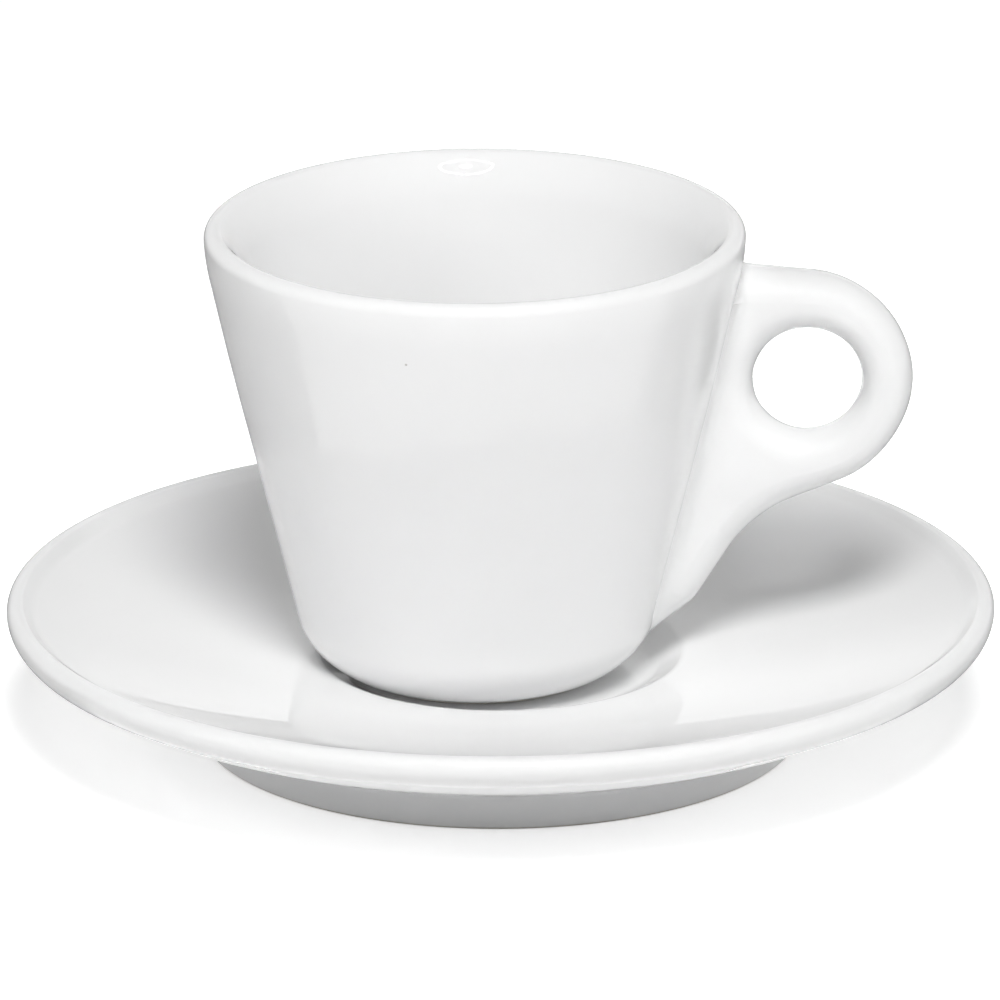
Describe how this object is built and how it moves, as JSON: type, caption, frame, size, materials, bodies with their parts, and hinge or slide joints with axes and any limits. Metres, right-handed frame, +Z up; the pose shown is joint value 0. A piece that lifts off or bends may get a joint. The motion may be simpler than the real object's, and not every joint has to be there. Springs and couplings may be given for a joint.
{
  "type": "espresso cup with saucer",
  "caption": "Small tapered porcelain cup with a pierced loop handle, standing in the well of a round saucer with a rolled lip and a foot ring.",
  "frame": {"origin": "centre of the saucer's foot ring, on the table it stands on", "axes": "+Z up, +X towards the cup's handle, +Y away from the viewer"},
  "size_m": [0.12, 0.12, 0.0641],
  "materials": {
    "saucer_glaze": "glossy white glaze over porcelain, unglazed on the foot ring",
    "cup_glaze": "glossy white glaze over porcelain, unglazed on the foot ring"
  },
  "bodies": {
    "saucer": {"saucer": "saucer_glaze"},
    "cup": {"cup_body": "cup_glaze", "cup_handle": "cup_glaze"}
  },
  "joints": [
    {"name": "cup_lift", "type": "slide", "parent": "saucer", "child": "cup", "axis": [0, 0, 1], "range_m": [0, 0.09]}
  ]
}
